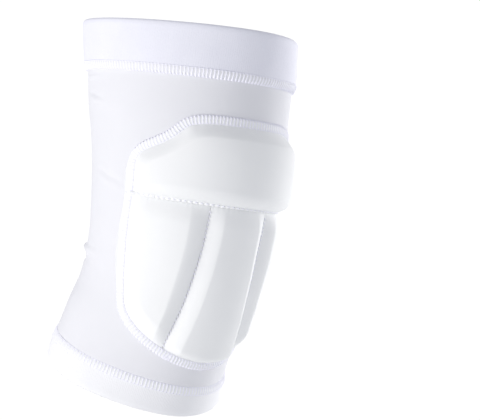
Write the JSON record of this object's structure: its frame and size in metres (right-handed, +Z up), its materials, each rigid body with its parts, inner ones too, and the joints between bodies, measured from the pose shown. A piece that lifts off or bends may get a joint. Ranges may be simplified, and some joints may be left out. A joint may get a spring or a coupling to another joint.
{
  "type": "volleyball knee pad",
  "caption": "Knitted leg sleeve bent at the knee, with elastic bands round both openings and a foam pad of sewn chambers on the front.",
  "frame": {"origin": "on the leg's axis at the knee, level with the cross seam between the upper and the lower cushions", "axes": "+Z up along the thigh, -Y out of the front of the knee, +X to the viewer's right when the front is looked at"},
  "size_m": [0.1384, 0.1509, 0.2458],
  "materials": {
    "knit": "fine stretch knit, white with a faint cool cast",
    "elastic": "ribbed elastic knit, white",
    "cover": "smooth tight stretch knit over foam, white"
  },
  "bodies": {
    "root": {"sleeve": "knit", "top_band": "elastic", "bottom_band": "elastic", "upper_cushion": "cover", "centre_cushion": "cover", "left_cushion": "cover", "right_cushion": "cover"}
  },
  "joints": []
}
